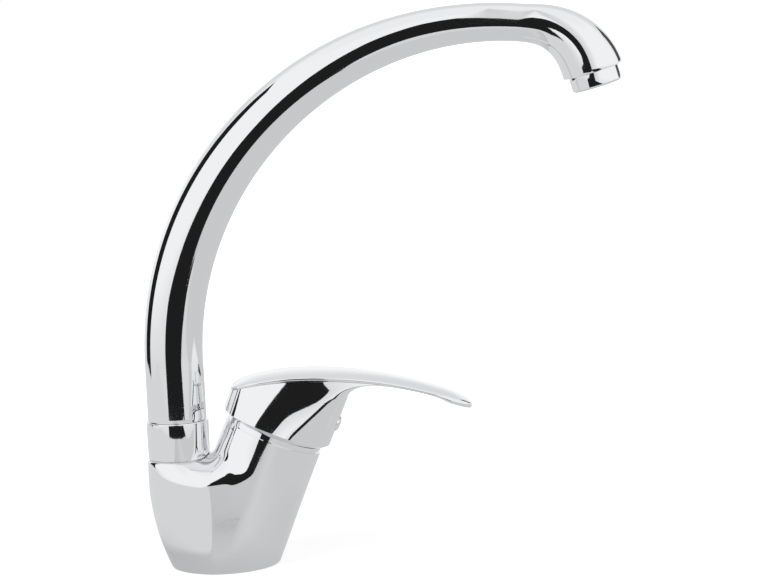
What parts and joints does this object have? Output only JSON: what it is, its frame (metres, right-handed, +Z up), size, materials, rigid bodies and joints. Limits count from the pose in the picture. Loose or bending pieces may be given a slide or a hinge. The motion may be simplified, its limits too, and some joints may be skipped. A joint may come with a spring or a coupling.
{
  "type": "basin tap",
  "caption": "Single-lever basin mixer tap with a leaning cartridge tower, a high swan-neck swivel spout, a long flat handle and an aerator outlet, in polished chrome.",
  "frame": {"origin": "centre of the round base, in the plane where it meets the basin deck", "axes": "+Z up, +X towards the handle tip and the outlet, which are in line at rest, +Y to the right of someone who stands in front of the tap and faces it"},
  "size_m": [0.2374, 0.0532, 0.2665],
  "materials": {
    "chrome_body": "polished chrome plating on cast brass",
    "chrome_spout": "polished chrome plating on brass tube",
    "chrome_handle": "polished chrome plating on cast zinc",
    "black_rubber": "matt black nitrile rubber",
    "white_plastic": "natural acetal, slightly translucent white",
    "cartridge_plastic": "grey glass-filled moulding",
    "white_ceramic": "lapped white ceramic",
    "raw_brass": "turned brass",
    "steel": "plain stainless steel"
  },
  "bodies": {
    "body": {"body_casting": "chrome_body", "base_seal": "black_rubber", "spout_screw": "steel", "swivel_washer": "white_plastic", "port_seals": "black_rubber", "cartridge_bottom": "cartridge_plastic", "fixed_disc": "white_ceramic", "cartridge_housing": "cartridge_plastic", "cartridge_nut": "raw_brass", "cover_ring": "chrome_body"},
    "spout": {"spout_tube": "chrome_spout", "spout_collar": "chrome_spout", "spout_nipple": "raw_brass", "upper_slide_ring": "white_plastic", "lower_slide_ring": "white_plastic", "upper_o_ring": "black_rubber", "lower_o_ring": "black_rubber", "aerator_gasket": "black_rubber", "aerator_housing": "chrome_spout", "aerator_insert": "white_plastic", "aerator_mesh": "steel"},
    "guide": {"stem_carrier": "cartridge_plastic", "stem_pin": "steel"},
    "disc": {"moving_disc": "white_ceramic", "disc_carrier": "cartridge_plastic"},
    "lever": {"lever_stem": "raw_brass", "lever_handle": "chrome_handle", "grub_screw": "steel", "index_plug": "chrome_handle"}
  },
  "joints": [
    {"name": "spout_swivel", "type": "hinge", "parent": "body", "child": "spout", "pos_m": [-0.0202, 0, 0.0529], "axis": [0, 0, 1], "continuous": true},
    {"name": "lever_turn", "type": "hinge", "parent": "body", "child": "guide", "pos_m": [0.0264, 0, 0.0629], "axis": [0.3987, 0, 0.9171], "range_deg": [-45, 45]},
    {"name": "lever_lift", "type": "hinge", "parent": "guide", "child": "lever", "pos_m": [0.02321, 0, 0.05556], "axis": [0, -1, 0], "range_deg": [0, 20]},
    {"name": "disc_slide", "type": "slide", "parent": "guide", "child": "disc", "axis": [0.9171, 0, -0.3987], "range_m": [0, 0.00446]}
  ],
  "couplings": [
    {"joint": "disc_slide", "follows": "lever_lift", "m_per_rad": 0.01274}
  ]
}
